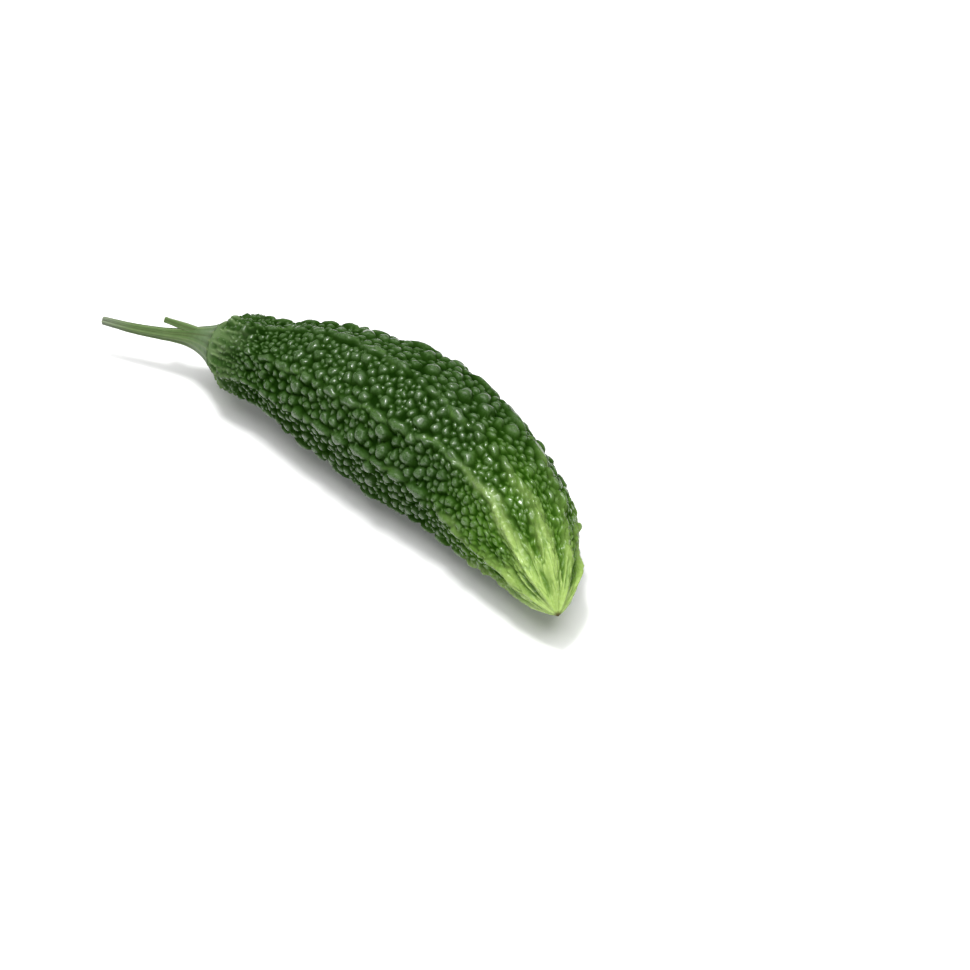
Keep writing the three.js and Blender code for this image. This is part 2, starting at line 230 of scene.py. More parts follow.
def spline_points(points, per_span):
    """Close points along a Catmull-Rom curve through the given points."""
    points = np.asarray(points, float)
    ends = np.vstack([points[:1], points, points[-1:]])
    share = np.linspace(0, 1, per_span, endpoint=False)[:, None]
    spans = []
    for index in range(len(points) - 1):
        before, start, end, after = ends[index : index + 4]
        leave = (end - before) / 2
        arrive = (after - start) / 2
        cubic = 2 * start - 2 * end + leave + arrive
        square = -3 * start + 3 * end - 2 * leave - arrive
        spans.append(cubic * share**3 + square * share**2 + leave * share + start)
    return np.vstack([*spans, points[-1:]])


def bezier(handles, share):
    """Points and directions on a cubic curve."""
    a, b, c, d = (np.asarray(handle, float) for handle in handles)
    t = np.asarray(share, float)[..., None]
    point = a * (1 - t) ** 3 + 3 * b * (1 - t) ** 2 * t + 3 * c * (1 - t) * t**2 + d * t**3
    way = (b - a) * (1 - t) ** 2 + 2 * (c - b) * (1 - t) * t + (d - c) * t**2
    return point, way / np.linalg.norm(way, axis=-1, keepdims=True)


def fruit_axis(share):
    third = FRUIT_LENGTH / 3
    half = FRUIT_LENGTH / 2
    handle_height = BODY_HEIGHT + (NECK_DROP + TIP_DROP) / 6
    return bezier(
        (
            (-half, 0, BODY_HEIGHT - NECK_DROP),
            (third - half, third * math.tan(NECK_ANGLE), handle_height),
            (half - third, third * math.tan(TIP_ANGLE), handle_height),
            (half, 0, BODY_HEIGHT - TIP_DROP),
        ),
        share,
    )


def fruit_outline():
    body = [(wide * FRUIT_RADIUS, along * FRUIT_LENGTH) for along, wide in BODY_SHARES]
    return spline_points([(NECK_RADIUS, 0), *body, (0, FRUIT_LENGTH)], 400)


OUTLINE = fruit_outline()


def fruit_radius(distance):
    return np.interp(distance, OUTLINE[:, 1], OUTLINE[:, 0])


def across(way):
    """The two directions square to the axis: aside, and upward."""
    aside = np.cross(way, (0, 0, 1))
    aside /= np.linalg.norm(aside, axis=-1, keepdims=True)
    return aside, np.cross(aside, way)


# ---- Ribs and bumps ----


def rib_angle(rib, along):
    stray = np.sin(rib * 2.4 + along * 7) + 0.5 * np.sin(rib * 5.1 - along * 11)
    calm = smoothstep(0, 0.2, along) * (1 - smoothstep(0.75, 1, along))
    return (rib + 0.5) / RIB_COUNT * FULL_TURN + math.pi + RIB_WANDER * stray * calm


def bump_scale(along):
    at_neck = lerp(NECK_BUMP_SCALE, 1, smoothstep(0.02, 0.3, along))
    return at_neck * lerp(1, TIP_BUMP_SCALE, smoothstep(0.62, 0.92, along))


class Bumps:
    """Oval domes on the skin: distance, angle, half length, half width, height and slant of each."""

    def __init__(self):
        self.rows = np.zeros((MOST_BUMPS, 6))
        self.count = 0

    def add(self, *values):
        self.rows[self.count] = values
        self.count += 1

    def is_crowded(self, distance, angle, foot, crowding):
        place, turn, half_length, half_width = self.rows[: self.count, :4].T
        gap_along = (distance - place) / (crowding * (foot + half_length))
        side = wrap_angle(angle - turn) * fruit_radius(distance)
        gap_across = side / (crowding * (foot + half_width))
        return bool((gap_along**2 + gap_across**2 < 1).any())


def add_lobes(bumps, draw):
    for rib in range(RIB_COUNT):
        distance = FRUIT_LENGTH * (FIRST_LOBE + FIRST_LOBE_SPREAD * next(draw))
        while distance < LAST_LOBE * FRUIT_LENGTH:
            scale = float(bump_scale(distance / FRUIT_LENGTH))
            half_length = LOBE_LENGTH / 2 * lerp(SHORTEST_LOBE, 1, next(draw)) * scale
            half_width = LOBE_WIDTH / 2 * lerp(NARROWEST_LOBE, 1, next(draw)) * scale
            height = LOBE_HEIGHT * lerp(LOWEST_LOBE, 1, next(draw)) * scale
            slant = LOBE_SLANT * lerp(-1, 1, next(draw))
            middle = distance + half_length
            angle = rib_angle(rib, middle / FRUIT_LENGTH)
            bumps.add(middle, angle, half_length, half_width, height, slant)
            distance += half_length * lerp(CLOSEST_LOBES, WIDEST_LOBES, next(draw) ** 2)


def add_warts(bumps, draw, tries, foot, crowding, steepness, span=(FIRST_WART, LAST_WART)):
    """Warts with one size of foot, wherever they don't crowd what is there."""
    for _ in range(tries):
        along = lerp(*span, next(draw))
        angle = float(wrap_angle(FULL_TURN * next(draw)))
        chance = next(draw)
        stretch = 1 + WART_STRETCH * next(draw) + TIP_WART_STRETCH * smoothstep(0.7, 0.9, along)
        slant = WART_SLANT * lerp(-1, 1, next(draw))
        distance = along * FRUIT_LENGTH
        half_width = foot * bump_scale(along)
        if chance > fruit_radius(distance) / FRUIT_RADIUS:
            continue
        if bumps.is_crowded(distance, angle, half_width, crowding):
            continue
        tip_steepness = lerp(1, TIP_WART_STEEPNESS, smoothstep(0.74, 0.92, along))
        height = steepness * tip_steepness * half_width
        bumps.add(distance, angle, half_width * stretch, half_width, height, slant)


def all_bumps():
    """The CAD part's lobes and warts, then small fillers in the gaps that they leave."""
    bumps = Bumps()
    draw = random_stream(RANDOM_SEED)
    add_lobes(bumps, draw)
    for size in range(WART_SIZES):
        share = size / (WART_SIZES - 1)
        tries = math.ceil(TRIES_PER_SIZE * max(FEWEST_TRIES, share))
        foot = lerp(WART_RADIUS, SMALLEST_WART_RADIUS, math.sqrt(share))
        add_warts(bumps, draw, tries, foot, WART_CROWDING, WART_STEEPNESS)
    for foot in FILLER_RADII:
        add_warts(bumps, draw, FILLER_TRIES, foot, FILLER_CROWDING, FILLER_STEEPNESS, FILLER_SPAN)
    return bumps.rows[: bumps.count]


# ---- The fruit's mesh ----


def wavy_field(distance, angle, wavelength, seed):
    """A smooth random field from -1 to 1 over the skin, even across the seam."""
    numbers = np.random.default_rng(seed)
    total = np.zeros(np.broadcast(distance, angle).shape)
    waves = 7
    turns = FULL_TURN * FRUIT_RADIUS / wavelength
    for _ in range(waves):
        heading = numbers.uniform(0, FULL_TURN)
        phase = numbers.uniform(0, FULL_TURN)
        around = round(turns * math.cos(heading))
        along = FULL_TURN / wavelength * math.sin(heading)
        total += np.sin(around * angle + along * distance + phase)
    return total / waves


def thin_lines(distance, angle, wavelength, seed, width):
    """Wandering lines, from 1 in their middle down to 0, where a random field changes its sign."""
    return np.clip(1 - np.abs(wavy_field(distance, angle, wavelength, seed)) / width, 0, 1)


def relief_room(radius):
    """The share of the ribs' full height that the thin ends of the fruit have room for."""
    share = np.minimum(1, radius / NECK_RADIUS)
    return share * (2 - share)


def rib_relief(along, angle, radius):
    nearest = np.full(angle.shape, np.inf)
    for rib in range(RIB_COUNT):
        nearest = np.minimum(nearest, np.abs(wrap_angle(angle - rib_angle(rib, along))))
    furrow = FULL_TURN / RIB_COUNT / 2
    crest = 0.5 + 0.5 * np.cos(np.minimum(1, nearest / furrow) * math.pi)
    tip_share = smoothstep(0.66, 0.86, along)
    height = lerp(RIB_HEIGHT, TIP_RIB_HEIGHT, tip_share)
    room = relief_room(radius) * smoothstep(0, 0.04, along)
    return height * room * crest ** (1 + tip_share)


def bump_relief(distance, angle, radius):
    """The beads' height at each grid point, and how near its bead's top the point is, from 0 to 1.

    Each point belongs to the bump whose middle is nearest in the bump's own half sizes. Beads meet
    in creases, where two bumps are equally near.
    """
    bent_distance = distance + BEAD_STRAY * wavy_field(distance, angle, BEAD_STRAY_LENGTH, 1)
    bent_side = BEAD_STRAY * wavy_field(distance, angle, BEAD_STRAY_LENGTH, 2)
    far = 9.0
    nearest = np.full(angle.shape, far)
    second = np.full(angle.shape, far)
    height = np.zeros(angle.shape)
    ring_distance = distance[:, 0]
    ring_radius = radius[:, 0]
    column_angle = angle[0]
    for place, turn, half_length, half_width, top, slant in all_bumps():
        reach = BUMP_WINDOW * half_length
        rows = np.nonzero(np.abs(ring_distance - place) < reach)[0]
        if not len(rows):
            continue
        turn_reach = reach / max(ring_radius[rows].min(), 1 * MM)
        columns = np.nonzero(np.abs(wrap_angle(column_angle - turn)) < turn_reach)[0]
        window = np.ix_(rows, columns)
        forward = bent_distance[window] - place
        side = wrap_angle(angle[window] - turn) * radius[window] + bent_side[window]
        u = (forward * math.cos(slant) + side * math.sin(slant)) / half_length
        v = (side * math.cos(slant) - forward * math.sin(slant)) / half_width
        reached = np.hypot(u, v)
        first = reached < nearest[window]
        second[window] = np.where(first, nearest[window], np.minimum(second[window], reached))
        height[window] = np.where(first, top, height[window])
        nearest[window] = np.where(first, reached, nearest[window])
    dome = np.clip(1 - (nearest / BUMP_REACH) ** 2, 0, 1) ** DOME_ROUNDNESS
    crease = np.sqrt(1 - np.minimum(1, nearest / second) ** CREASE_SHARPNESS)
    along = distance / FRUIT_LENGTH
    gain = lerp(NECK_BEAD_GAIN, BEAD_GAIN, smoothstep(*NECK_BEADS, along))
    gain = lerp(gain, TIP_BEAD_GAIN, smoothstep(*TIP_BEADS, along))
    return gain * height * dome * crease, dome * crease


class MeshParts:
    """Closed tubes of rings, gathered into one mesh. Each point carries named values."""

    def __init__(self, names):
        self.points = []
        self.faces = []
        self.values = {name: [] for name in names}
        self.count = 0

    def add_tube(self, rings, first_pole, last_pole, **values):
        """Each value comes as one number for each point of the rings, then one for each pole."""
        ring_count, side_count, _ = rings.shape
        ring, side = np.meshgrid(np.arange(ring_count - 1), np.arange(side_count), indexing="ij")
        here = (ring * side_count + side).ravel() + self.count
        beside = (ring * side_count + (side + 1) % side_count).ravel() + self.count
        quads = np.stack([here, beside, beside + side_count, here + side_count], axis=1)
        pole = self.count + ring_count * side_count
        first = self.count + np.arange(side_count)
        last = first + (ring_count - 1) * side_count
        self.faces += quads.tolist()
        self.faces += [[pole, b, a] for a, b in zip(first.tolist(), np.roll(first, -1).tolist())]
        self.faces += [[pole + 1, a, b] for a, b in zip(last.tolist(), np.roll(last, -1).tolist())]
        self.points += [rings.reshape(-1, 3), [first_pole], [last_pole]]
        for name, (on_rings, on_first, on_last) in values.items():
            on_rings = np.broadcast_to(on_rings, (ring_count, side_count))
            self.values[name] += [on_rings.ravel(), [on_first], [on_last]]
        self.count = pole + 2

    def build(self, name):
        mesh = bpy.data.meshes.new(name)
        mesh.from_pydata(np.concatenate(self.points).tolist(), [], self.faces)
        mesh.polygons.foreach_set("use_smooth", np.ones(len(mesh.polygons), bool))
        for key, values in self.values.items():
            layer = mesh.attributes.new(key, "FLOAT", "POINT")
            layer.data.foreach_set("value", np.concatenate(values).astype(np.float32))
        mesh.update()
        piece = bpy.data.objects.new(name, mesh)
        bpy.context.collection.objects.link(piece)
        return piece


def even_distances(outline, count):
    """Distances along the axis whose places on the outline are evenly spaced."""
    steps = np.hypot(*np.diff(outline, axis=0).T)
    walked = np.append(0, np.cumsum(steps))
    return np.interp(np.linspace(0, walked[-1], count), walked, outline[:, 1])


def pale_ribs(along, angle):
    """How far the skin is a pale smooth rib: each rib turns pale at its own distance."""
    pale = np.zeros(angle.shape)
    for rib, start in enumerate(PALE_RIB_STARTS):
        wander = 0.03 * (np.sin(37 * along + 2 * rib) + np.sin(71 * along + 3 * rib))
        gap = np.abs(wrap_angle(angle + wander - rib_angle(rib, along)))
        width = lerp(NARROW_PALE_RIB, WIDE_PALE_RIB, smoothstep(*WIDENING_RIB, along))
        ridge = np.exp(-((gap / width) ** 2))
        broken = 0.5 + 0.5 * np.sin(29 * along + 4 * rib)
        faint = FAINT_RIB * broken * smoothstep(0.04, 0.12, along)
        strong = smoothstep(start, start + PALE_RIB_STRETCH, along)
        pale = np.maximum(pale, ridge * np.maximum(faint, strong))
    return pale


def make_fruit():
    ring_distance = even_distances(OUTLINE, FRUIT_RINGS + 1)[:-1]
    turn = np.arange(FRUIT_SIDES) / FRUIT_SIDES * FULL_TURN - math.pi
    side_angle = turn - TOP_FINENESS * np.sin(turn)
    distance, angle = np.meshgrid(ring_distance, side_angle, indexing="ij")
    radius = fruit_radius(distance)
    along = distance / FRUIT_LENGTH

    rib = rib_relief(along, angle, radius)
    bead, nearness = bump_relief(distance, angle, radius)
    pale = pale_ribs(along, angle)
    room = relief_room(radius)
    near_tip = smoothstep(*TIP_SKIN, along)
    near_neck = 1 - smoothstep(*NECK_SKIN, along)
    veins = thin_lines(VEIN_STRETCH * distance, angle, VEIN_LENGTH, 7, VEIN_WIDTH)
    veins = lerp(veins, 0.8, smoothstep(*LAST_VEINS, along))
    cuts = thin_lines(CUT_STRETCH * distance, angle, CUT_LENGTH, 8, CUT_WIDTH)
    cuts = cuts * (1 - smoothstep(*LAST_CUTS, along))
    vein_height = TIP_VEIN_HEIGHT * near_tip + NECK_VEIN_HEIGHT * near_neck
    uneven = UNEVENNESS * wavy_field(distance, angle, UNEVEN_LENGTH, 4)
    fine_height = FINE_RELIEF + TIP_FINE_RELIEF * near_tip
    fine = fine_height * wavy_field(distance, angle, FINE_LENGTH, 5)
    swell = np.clip((along - FULL_TIP_START) / (1 - FULL_TIP_START), 0, 1)
    fullness = TIP_FULLNESS * 4 * swell * (1 - swell)
    grown = PALE_RIB_HEIGHT * pale + vein_height * veins + uneven + fine
    grown = grown - CUT_DEPTH * cuts * near_tip
    beads = bead * (1 - RIB_SMOOTHING * pale)
    relief = rib + (beads + grown * room) * smoothstep(0, 0.02, along) + fullness

    middle, way = fruit_axis(along)
    aside, upward = across(way)
    outward = aside * np.sin(angle)[..., None] + upward * np.cos(angle)[..., None]
    points = middle + outward * (radius + relief)[..., None]
    points[..., 2] = np.maximum(points[..., 2], 0)  # the ground presses the lowest beads flat
    neck, _ = fruit_axis(0)
    tip, _ = fruit_axis(1)
    parts = MeshParts(("top", "pale", "vein", "cut", "along"))
    parts.add_tube(
        points, neck, tip,
        top=(nearness, 0, 0),
        pale=(pale, 0, 1),
        vein=(veins, 0, 1),
        cut=(cuts, 0, 0),
        along=(along, 0, 1),
    )
    return parts.build("gourd_fruit")


# ---- The stem's mesh ----


def stem_path():
    """Close points along the stem's axis, and the directions there."""
    start, way = fruit_axis(0)
    backward = -way
    sideways = np.cross((0, 0, 1), backward)
    sideways /= np.linalg.norm(sideways)
    handles = [
        start
        + backward * max(STEM_GAP, along * STEM_LENGTH)
        + sideways * bow * STEM_BOW
        + np.array((0, 0, curl * STEM_CURL))
        for along, bow, curl in STEM_COURSE
    ]
    points = spline_points(handles, 60)
    ways = np.gradient(points, axis=0)
    return points, ways / np.linalg.norm(ways, axis=1, keepdims=True)


def stem_axis(share):
    """Points and directions on the stem's axis; a share below 0 runs straight into the fruit."""
    points, ways = STEM_PATH
    places = np.linspace(0, 1, len(points))
    point = np.stack([np.interp(share, places, points[:, i]) for i in range(3)], axis=-1)
    way = np.stack([np.interp(share, places, ways[:, i]) for i in range(3)], axis=-1)
    return point + way * np.minimum(0, share)[..., None] * STEM_LENGTH, way


STEM_PATH = stem_path()


def tube(middle, way, angle, radius):
    aside, upward = across(way)
    outward = aside * np.sin(angle)[..., None] + upward * np.cos(angle)[..., None]
    return middle + outward * radius[..., None]


def rounded_end(distance, length, radius):
    """Narrows a tube's last stretch to a softly cut end."""
    left = np.clip((length - distance) / (CUT_ROUNDING * radius), 0, 1)
    return lerp(CUT_RADIUS, 1, np.sqrt(1 - (1 - left) ** 2))


def add_stalk(parts):
    walk = np.concatenate([
        np.linspace(-STEM_INSIDE, STEM_LENGTH - 1 * MM, STEM_RINGS),
        np.linspace(STEM_LENGTH - 0.8 * MM, STEM_LENGTH, CUT_RINGS),
    ])
    turn = np.arange(STEM_SIDES) / STEM_SIDES * FULL_TURN
    distance, angle = np.meshgrid(walk, turn, indexing="ij")
    along = distance / STEM_LENGTH
    flare = np.clip(1 - distance / FLARE_LENGTH, 0, 1) ** 2
    radius = lerp(STEM_RADIUS, STEM_END_RADIUS, np.maximum(distance, 0) / STEM_LENGTH)
    radius = radius + (NECK_RADIUS + FLARE_OVERLAP - STEM_RADIUS) * flare
    fade = smoothstep(0, FLARE_LENGTH / 2, distance)
    ridges = np.cos(STEM_RIB_COUNT * angle) * fade
    lines = np.cos(2 * RIB_COUNT * angle + 3 * along * np.sin(3 * angle)) * (1 - 0.6 * fade)
    wobble = wavy_field(2 * distance, angle, 9 * MM, 6)
    radius = radius + STEM_RIB_HEIGHT * ridges + STEM_LINE_HEIGHT * lines + STEM_WOBBLE * wobble
    radius = np.where(distance < 0, radius + INSIDE_TAPER * distance, radius)
    radius = radius * rounded_end(distance, STEM_LENGTH, STEM_END_RADIUS)
    middle, way = stem_axis(distance / STEM_LENGTH)
    first, _ = stem_axis(np.array(-STEM_INSIDE / STEM_LENGTH))
    last, _ = stem_axis(np.array(1.0))
    cut = smoothstep(STEM_LENGTH - 0.5 * MM, STEM_LENGTH, distance)
    ridge = 0.5 + 0.25 * ridges + 0.25 * lines
    parts.add_tube(
        tube(middle, way, angle, radius), first, last,
        along=(along, 0, 1),
        cut=(cut, 0, 1),
        ridge=(ridge, 0.5, 0.5),
    )


def add_stub(parts):
    root, way = stem_axis(np.array(STUB_PLACE / STEM_LENGTH))
    root = root + np.array((0, 0, STUB_RISE))
    heading = np.array(Matrix.Rotation(-STUB_ANGLE, 3, "Z") @ Vector(way))
    walk = np.concatenate([
        np.linspace(0, STUB_LENGTH - 0.9 * MM, STUB_RINGS),
        np.linspace(STUB_LENGTH - 0.7 * MM, STUB_LENGTH, CUT_RINGS),
    ])
    turn = np.arange(STUB_SIDES) / STUB_SIDES * FULL_TURN
    distance, angle = np.meshgrid(walk, turn, indexing="ij")
    share = distance / STUB_LENGTH
    radius = STUB_RADIUS * (1 + 0.12 * np.sin(5 * share) + 0.08 * np.cos(4 * angle))
    radius = radius * rounded_end(distance, STUB_LENGTH, STUB_RADIUS)
    middle = root + heading * distance[..., None]
    way = np.broadcast_to(heading, middle.shape)
    cut = smoothstep(STUB_LENGTH - 0.6 * MM, STUB_LENGTH, distance)
    parts.add_tube(
        tube(middle, way, angle, radius), root, root + heading * STUB_LENGTH,
        along=(0.3, 0.3, 0.3),
        cut=(cut, 0, 1),
        ridge=(0.5 + 0.3 * np.cos(4 * angle), 0.5, 0.5),
    )


def make_stem():
    parts = MeshParts(("along", "cut", "ridge"))
    add_stalk(parts)
    add_stub(parts)
    return parts.build("gourd_stem")


# ---- Materials ----

# Sizes of the skin's random patches of colour and of its finest relief
PATCH_SIZE = 16 * MM
BLOTCH_SIZE = 5 * MM
SPECK_SIZE = 1.4 * MM
MOTTLE_SIZE = 1.1 * MM
GRAIN_SIZE = 0.7 * MM
GRAIN_DEPTH = 0.12 * MM
STEM_SPECK_SIZE = 2.2 * MM
STEM_GRAIN_SIZE = 0.6 * MM
STEM_GRAIN_DEPTH = 0.1 * MM

# Stretches of the fruit, as shares of its length, over which its colour changes
NECK_EDGE = (0.0, 0.03)
NECK_ZONE = (0.01, 0.11)
BRIGHT_ZONE = (0.6, 1.0)
PALING_ZONE = (0.62, 0.98)
TIP_ZONE = (0.85, 0.97)
SCAR_ZONE = (0.992, 0.998)
ZONE_STRAY = 0.3  # how far the patches shift these stretches

# Stretches of the stem, as shares of its length
FLARE_EDGE = (0.0, 0.09)
FLARE_ZONE = (0.1, 0.35)
DRY_ZONE = (0.72, 1.0)


def new_material(name):
    material = bpy.data.materials.new(name)
    material.use_nodes = True
    nodes = material.node_tree.nodes
    nodes.clear()
    shader = nodes.new("ShaderNodeBsdfPrincipled")
    output = nodes.new("ShaderNodeOutputMaterial")
    material.node_tree.links.new(shader.outputs["BSDF"], output.inputs["Surface"])
    return material, shader


class Graph:
    """Short ways to add nodes to a material."""

    def __init__(self, material):
        self.tree = material.node_tree

    def node(self, kind, inputs=(), **settings):
        node = self.tree.nodes.new(kind)
        for key, value in settings.items():
            setattr(node, key, value)
        for key, value in dict(inputs).items():
            if isinstance(value, bpy.types.NodeSocket):
                self.tree.links.new(value, node.inputs[key])
            else:
                node.inputs[key].default_value = value
        return node

    def attribute(self, name):
        return self.node("ShaderNodeAttribute", attribute_name=name).outputs["Fac"]

    def noise(self, size, detail):
        coordinates = self.node("ShaderNodeTexCoord").outputs["Object"]
        inputs = {"Vector": coordinates, "Scale": 1 / size, "Detail": detail}
        return self.node("ShaderNodeTexNoise", inputs).outputs["Fac"]

    def ranged(self, value, low, high, to_low=0.0, to_high=1.0):
        """A smooth step from one value to another while the input goes from low to high."""
        inputs = {"Value": value, "From Min": low, "From Max": high}
        inputs |= {"To Min": to_low, "To Max": to_high}
        node = self.node("ShaderNodeMapRange", inputs, interpolation_type="SMOOTHSTEP")
        return node.outputs["Result"]

    def math(self, operation, first, second):
        node = self.node("ShaderNodeMath", {0: first, 1: second}, operation=operation)
        return node.outputs["Value"]

    def mix(self, share, first, second):
        """A colour between two colours. The Mix node's colour sockets are known by their numbers."""
        node = self.node("ShaderNodeMix", data_type="RGBA")
        self.join(share, node.inputs[0])
        self.join(first, node.inputs[6])
        self.join(second, node.inputs[7])
        return node.outputs[2]

    def join(self, value, socket):
        if isinstance(value, bpy.types.NodeSocket):
            self.tree.links.new(value, socket)
        else:
            socket.default_value = value

    def bump(self, height, distance, strength):
        inputs = {"Height": height, "Distance": distance, "Strength": strength}
        return self.node("ShaderNodeBump", inputs).outputs["Normal"]


def colour(red, green, blue):
    """A linear colour from display values of 0 to 255."""

    def linear(value):
        share = value / 255
        return share / 12.92 if share <= 0.04045 else ((share + 0.055) / 1.055) ** 2.4

    return (linear(red), linear(green), linear(blue), 1.0)


def fruit_material():
    """Dark beads with painted shade in the creases between them and painted sheen on their crowns,
    turning pale yellow-green at the tip and grey-green at the neck.
    """
    material, shader = new_material("gourd_skin")
    graph = Graph(material)
    top = graph.attribute("top")
    pale = graph.attribute("pale")
    vein = graph.attribute("vein")
    cut = graph.attribute("cut")
    along = graph.attribute("along")
    patches = graph.noise(PATCH_SIZE, 3)
    blotches = graph.noise(BLOTCH_SIZE, 3)
    specks = graph.noise(SPECK_SIZE, 3)
    stray = graph.math("MULTIPLY", graph.math("SUBTRACT", patches, 0.5), ZONE_STRAY)

    # The body's beads, from the creases between them up to their crowns. Their own dark green is
    # darkened in the creases as painted shade, and lightened and greyed towards the crowns as painted
    # sheen
    crease = graph.mix(patches, colour(10, 30, 3), colour(17, 40, 5))
    flank = graph.mix(blotches, colour(22, 45, 8), colour(31, 57, 14))
    mottle = graph.ranged(graph.noise(MOTTLE_SIZE, 3), 0.38, 0.62)
    # The crowns' lighter, greyer colour is painted sheen
    crown_sheen = graph.mix(blotches, colour(39, 64, 25), colour(56, 81, 40))
    crown_sheen = graph.mix(graph.math("MULTIPLY", mottle, 0.6), crown_sheen, colour(74, 98, 60))
    # Blended by nearness to each bead's top: painted shade low in the creases, painted sheen on the
    # crowns
    body = graph.mix(graph.ranged(top, 0.0, 0.4), crease, flank)
    body = graph.mix(graph.ranged(top, 0.35, 0.95), body, crown_sheen)

    # The brighter green beads towards the tip. Their own brighter green is darkened in the creases as
    # painted shade and lightened on the crowns as painted sheen
    bright_crease_shade = graph.mix(specks, colour(30, 66, 4), colour(42, 80, 8))
    bright_crown_sheen = graph.mix(blotches, colour(68, 106, 28), colour(90, 126, 46))
    bright = graph.mix(graph.ranged(top, 0.1, 0.9), bright_crease_shade, bright_crown_sheen)
    bright_share = graph.ranged(graph.math("ADD", along, stray), *BRIGHT_ZONE)
    body = graph.mix(bright_share, body, bright)

    # The pale, veined tip
    groove = graph.mix(specks, colour(56, 92, 14), colour(84, 120, 32))
    ridge = graph.mix(specks, colour(138, 166, 80), colour(162, 188, 108))
    tip = graph.mix(graph.ranged(vein, 0.1, 0.8), groove, ridge)
    tip = graph.mix(graph.math("MULTIPLY", cut, 0.8), tip, colour(60, 96, 20))
    tip_along = graph.math("ADD", along, graph.math("MULTIPLY", stray, 0.3))
    tip_share = graph.ranged(tip_along, *TIP_ZONE)
    body = graph.mix(tip_share, body, tip)

    # The smooth ribs, green along the body and pale at the tip
    rib_green = graph.mix(blotches, colour(56, 84, 38), colour(78, 104, 58))
    rib = graph.mix(graph.ranged(along, *PALING_ZONE), rib_green, ridge)
    rib = graph.mix(graph.math("MULTIPLY", cut, 0.6), rib, colour(72, 108, 30))
    body = graph.mix(pale, body, rib)

    # The streaked neck, which starts in the flare's colour
    neck = graph.mix(graph.ranged(vein, 0.0, 0.9), colour(50, 76, 34), colour(98, 120, 78))
    neck = graph.mix(graph.ranged(along, *NECK_EDGE), colour(94, 117, 76), neck)
    neck_along = graph.math("ADD", along, graph.math("MULTIPLY", stray, 0.2))
    body = graph.mix(graph.ranged(neck_along, *NECK_ZONE, 1.0, 0.0), body, neck)
    body = graph.mix(graph.ranged(along, *SCAR_ZONE), body, colour(74, 64, 30))
    graph.join(body, shader.inputs["Base Color"])

    # Only the crowns and the smooth ribs shine
    smooth = graph.math("MULTIPLY", graph.math("MAXIMUM", pale, tip_share), 0.5)
    exposed = graph.math("MAXIMUM", graph.ranged(top, 0.65, 1.0), smooth)
    graph.join(graph.ranged(exposed, 0, 1, 0.0, 0.55), shader.inputs["Specular IOR Level"])
    graph.join(graph.ranged(specks, 0.3, 0.7, 0.18, 0.32), shader.inputs["Roughness"])
    grain = graph.noise(GRAIN_SIZE, 3)
    graph.join(graph.bump(grain, GRAIN_DEPTH, 0.4), shader.inputs["Normal"])
    return material


def stem_material():
    """Grooved green, greyer at the flare, and drier and paler towards the cut end."""
    material, shader = new_material("stem_skin")
    graph = Graph(material)
    along = graph.attribute("along")
    ridge = graph.attribute("ridge")
    specks = graph.noise(STEM_SPECK_SIZE, 4)
    green = graph.mix(specks, colour(56, 83, 36), colour(84, 106, 58))
    grey = graph.mix(specks, colour(62, 86, 50), colour(98, 120, 82))
    streaked = graph.mix(graph.ranged(ridge, 0.2, 0.9), colour(50, 74, 36), colour(84, 106, 64))
    grey = graph.mix(graph.ranged(along, *FLARE_EDGE), streaked, grey)
    tone = graph.mix(graph.ranged(along, *FLARE_ZONE), grey, green)
    tone = graph.mix(graph.ranged(along, *DRY_ZONE), tone, colour(102, 112, 93))
    tone = graph.mix(graph.ranged(ridge, 0.6, 1.0), tone, colour(126, 142, 96))
    tone = graph.mix(graph.ranged(ridge, 0.4, 0.1), tone, colour(64, 72, 38))
    tone = graph.mix(graph.attribute("cut"), tone, colour(112, 114, 82))
    graph.join(tone, shader.inputs["Base Color"])
    shader.inputs["Roughness"].default_value = 0.55
    shader.inputs["Specular IOR Level"].default_value = 0.3
    grain = graph.noise(STEM_GRAIN_SIZE, 3)
    graph.join(graph.bump(grain, STEM_GRAIN_DEPTH, 0.5), shader.inputs["Normal"])
    return material


# ---- The stage ----

# The view, from the middle of the part: where the camera looks, and from where.
VIEW_AZIMUTH = math.radians(43.4)
VIEW_ELEVATION = math.radians(45.6)
VIEW_ROLL = math.radians(3.2)
VIEW_DISTANCE = 0.9
VIEW_LENS = 90.3
VIEW_RIGHT = 38.1 * MM
VIEW_UP = 10.6 * MM

FLOOR_REACH = 4.0
FLOOR_WHITE = 0.86
WORLD_STRENGTH = 0.24

# The lights: name, place from the middle of the part, size and power
LIGHTS = (
    ("overhead", (0.1, -0.05, 1.4), 1.6, 24),
    ("key", (-0.1, -0.1, 1.2), 0.22, 9),
    ("side", (0.7, -1.0, 0.9), 0.6, 4),
)


def make_floor():
    mesh = bpy.data.meshes.new("floor")
    corners = [(x * FLOOR_REACH, y * FLOOR_REACH, 0) for x, y in ((-1, -1), (1, -1), (1, 1), (-1, 1))]
    mesh.from_pydata(corners, [], [(0, 1, 2, 3)])
    floor = bpy.data.objects.new("floor", mesh)
    bpy.context.collection.objects.link(floor)
    material, shader = new_material("floor_white")
    shader.inputs["Base Color"].default_value = (FLOOR_WHITE, FLOOR_WHITE, FLOOR_WHITE, 1)
    shader.inputs["Roughness"].default_value = 0.9
    mesh.materials.append(material)


def add_light(name, place, aim, size, power):
    data = bpy.data.lights.new(name, "AREA")
    data.shape = "DISK"
    data.size = size
    data.energy = power
    light = bpy.data.objects.new(name, data)
    light.location = place
    light.rotation_euler = (aim - place).to_track_quat("-Z", "Y").to_euler()
    bpy.context.collection.objects.link(light)


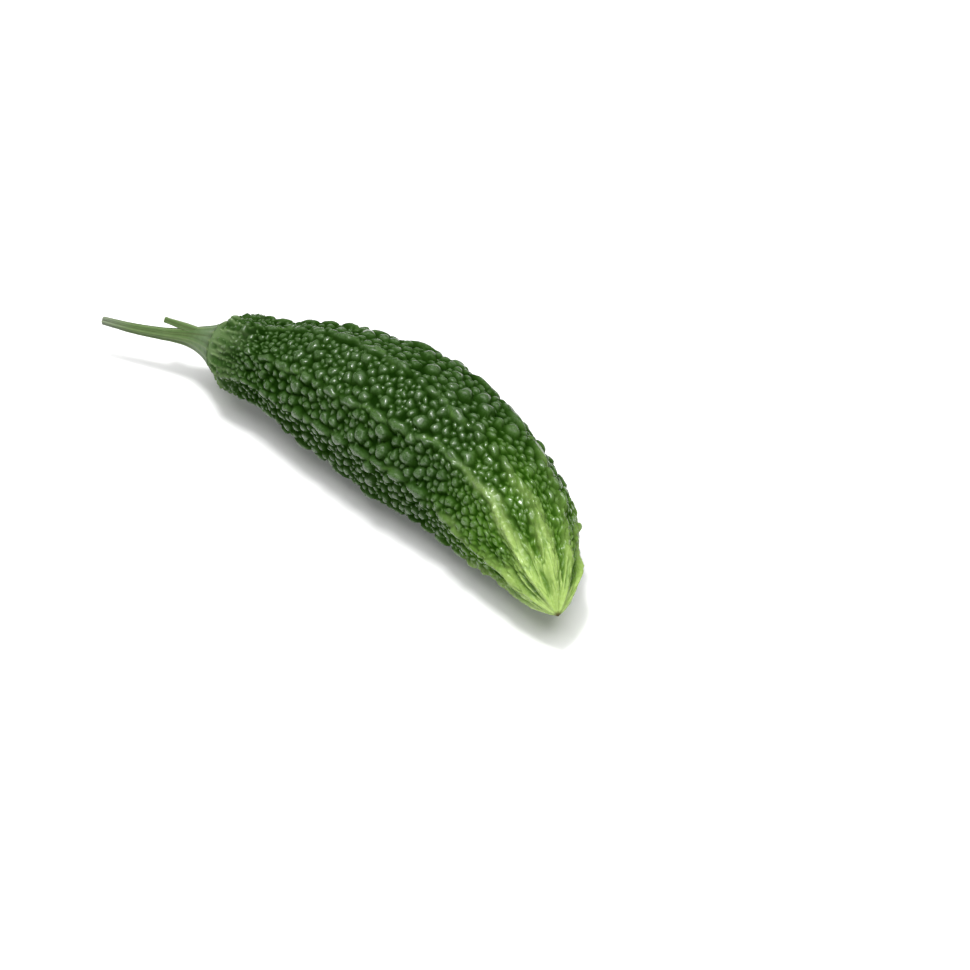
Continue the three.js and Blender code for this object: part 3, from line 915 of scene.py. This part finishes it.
def make_camera(middle):
    back = Vector((
        math.sin(VIEW_AZIMUTH) * math.cos(VIEW_ELEVATION),
        -math.cos(VIEW_AZIMUTH) * math.cos(VIEW_ELEVATION),
        math.sin(VIEW_ELEVATION),
    ))
    right = Vector((math.cos(VIEW_AZIMUTH), math.sin(VIEW_AZIMUTH), 0))
    up = back.cross(right)
    right, up = (
        right * math.cos(VIEW_ROLL) + up * math.sin(VIEW_ROLL),
        up * math.cos(VIEW_ROLL) - right * math.sin(VIEW_ROLL),
    )
    data = bpy.data.cameras.new("camera")
    data.lens = VIEW_LENS
    data.sensor_width = 36
    data.clip_start = 0.01
    data.clip_end = 20
    camera = bpy.data.objects.new("camera", data)
    camera.matrix_world = Matrix((right, up, back)).transposed().to_4x4()
    camera.location = middle + right * VIEW_RIGHT + up * VIEW_UP + back * VIEW_DISTANCE
    bpy.context.collection.objects.link(camera)
    bpy.context.scene.camera = camera


def make_stage(middle):
    make_floor()
    make_camera(middle)
    for name, offset, size, power in LIGHTS:
        add_light(name, middle + Vector(offset), middle, size, power)
    world = bpy.data.worlds.new("studio")
    world.use_nodes = True
    background = world.node_tree.nodes["Background"]
    background.inputs["Color"].default_value = (1, 1, 1, 1)
    background.inputs["Strength"].default_value = WORLD_STRENGTH
    bpy.context.scene.world = world
    bpy.context.scene.view_settings.view_transform = "Standard"


# ---- The whole ----


def box_middle(points):
    return (points.min(axis=0) + points.max(axis=0)) / 2


def mesh_points(piece):
    points = np.empty(3 * len(piece.data.vertices))
    piece.data.vertices.foreach_get("co", points)
    return points.reshape(-1, 3)


def main():
    fruit = make_fruit()
    stem = make_stem()
    # The fruit's box in the frame says where the meshes belong
    low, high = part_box("fruit")
    shift = Vector((low + high) / 2) - Vector(box_middle(mesh_points(fruit)))
    shift.z = 0
    pieces = ((fruit, "fruit", fruit_material()), (stem, "stem", stem_material()))
    for piece, node, material in pieces:
        piece.data.transform(Matrix.Translation(shift))
        piece.data.materials.append(material)
        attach(piece, "root")
        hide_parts(node)
    make_stage(Vector((shift.x, shift.y, 0)))


main()
